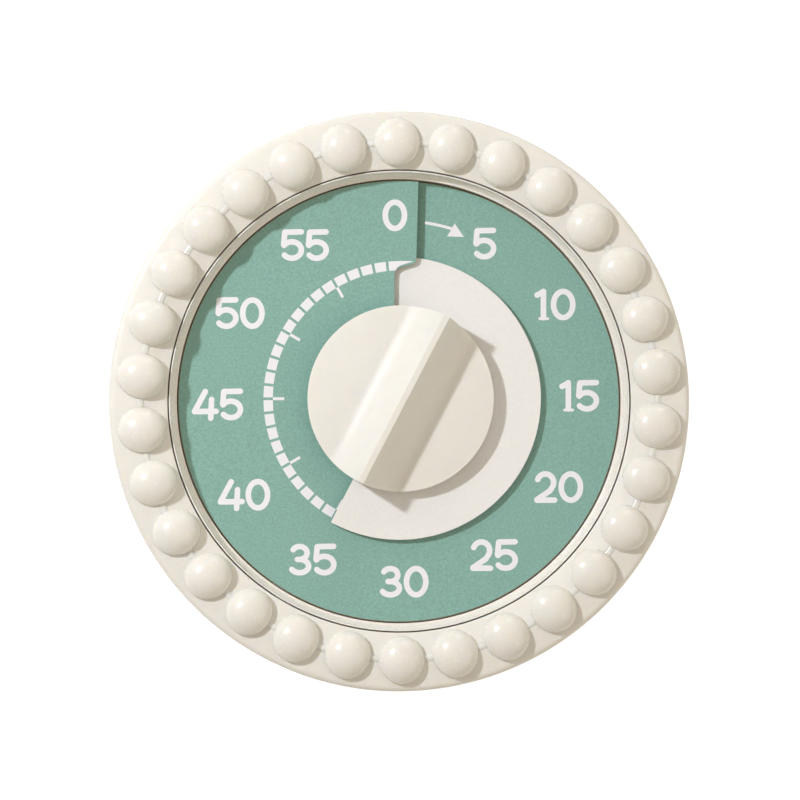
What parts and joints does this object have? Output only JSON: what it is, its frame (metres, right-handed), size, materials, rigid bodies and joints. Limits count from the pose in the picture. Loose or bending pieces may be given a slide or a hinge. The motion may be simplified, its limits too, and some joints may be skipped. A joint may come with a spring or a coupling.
{
  "type": "kitchen timer",
  "caption": "Round mechanical kitchen timer: pearl-beaded bezel, raised grip knob and a helical time disc that shows the minutes left on a spiral dial.",
  "frame": {"origin": "centre of the flat back face", "axes": "+Z out of the dial, +Y to twelve o'clock, +X to three o'clock; the timer lies on its back"},
  "size_m": [0.086, 0.086, 0.0326],
  "materials": {
    "cream_gloss": "gloss, grained flange",
    "cream_plastic": "satin",
    "ivory_plastic": "satin",
    "green_plastic": "fine matte",
    "white_plastic": "matte",
    "brass": "stamped",
    "steel": "turned",
    "spring_steel": "blued",
    "bell_steel": "polished"
  },
  "bodies": {
    "root": {"case": "cream_plastic", "bezel": "cream_gloss", "trim_ring": "cream_gloss", "dial": "green_plastic", "back_cover": "cream_plastic", "cover_screw_1": "steel", "cover_screw_2": "steel", "cover_screw_3": "steel", "movement_front_plate": "steel", "movement_back_plate": "steel", "movement_screw_1": "steel", "movement_screw_2": "steel", "movement_screw_3": "steel", "pillar_1": "brass", "pillar_2": "brass", "pillar_3": "brass", "mainspring": "spring_steel", "spring_post": "brass", "bell": "bell_steel", "bell_post": "brass", "bell_screw": "steel"},
    "knob": {"knob": "ivory_plastic", "main_arbor": "steel", "ratchet_wheel": "steel", "strike_cam": "steel"},
    "time_disc": {"time_disc": "white_plastic"},
    "main_wheel": {"main_wheel": "brass", "click_pivot": "steel"},
    "click": {"click": "steel"},
    "second_wheel": {"second_wheel": "brass", "second_pinion": "steel"},
    "third_wheel": {"third_wheel": "brass", "third_pinion": "steel"},
    "escape_wheel": {"escape_wheel": "brass", "escape_pinion": "steel"},
    "pallets": {"pallet_anchor": "brass", "pallet_arbor": "steel", "pallet_pin_1": "steel", "pallet_pin_2": "steel"},
    "hammer": {"hammer_arbor": "steel", "hammer_follower": "steel", "hammer_arm": "steel", "hammer_head": "brass"}
  },
  "joints": [
    {"name": "knob_turn", "type": "hinge", "parent": "root", "child": "knob", "pos_m": [0, 0, 0], "axis": [0, 0, 1], "range_deg": [-151.5, 208.5], "deforming": ["mainspring"]},
    {"name": "disc_rise", "type": "slide", "parent": "knob", "child": "time_disc", "axis": [0, 0, 1], "range_m": [-0.00078, 0.00057]},
    {"name": "main_wheel_turn", "type": "hinge", "parent": "root", "child": "main_wheel", "pos_m": [0, 0, 0], "axis": [0, 0, 1], "range_deg": [-151.5, 208.5]},
    {"name": "click_lift", "type": "hinge", "parent": "main_wheel", "child": "click", "pos_m": [-0.00325, -0.00893, 0], "axis": [0, 0, 1], "range_deg": [-12, 0], "stiffness_Nm_per_rad": 0.00005},
    {"name": "second_wheel_turn", "type": "hinge", "parent": "root", "child": "second_wheel", "pos_m": [-0.01861, -0.00677, 0], "axis": [0, 0, 1], "range_deg": [-1042.5, 757.5]},
    {"name": "third_wheel_turn", "type": "hinge", "parent": "root", "child": "third_wheel", "pos_m": [-0.01251, -0.02048, 0], "axis": [0, 0, 1], "range_deg": [-3030, 4170]},
    {"name": "escape_wheel_turn", "type": "hinge", "parent": "root", "child": "escape_wheel", "pos_m": [0.00075, -0.02299, 0], "axis": [0, 0, 1], "range_deg": [-16680, 12120]},
    {"name": "pallet_rock", "type": "hinge", "parent": "root", "child": "pallets", "pos_m": [0.01026, -0.02169, 0], "axis": [0, 0, 1], "range_deg": [-3, 3]},
    {"name": "hammer_swing", "type": "hinge", "parent": "root", "child": "hammer", "pos_m": [0.01828, 0.00287, 0], "axis": [0, 0, 1], "range_deg": [-6, 0], "stiffness_Nm_per_rad": 0.002}
  ],
  "couplings": [
    {"joint": "disc_rise", "follows": "knob_turn", "m_per_rad": -0.00021486},
    {"joint": "main_wheel_turn", "follows": "knob_turn", "ratio": 1},
    {"joint": "second_wheel_turn", "follows": "knob_turn", "ratio": -5},
    {"joint": "third_wheel_turn", "follows": "knob_turn", "ratio": 20},
    {"joint": "escape_wheel_turn", "follows": "knob_turn", "ratio": -80}
  ]
}
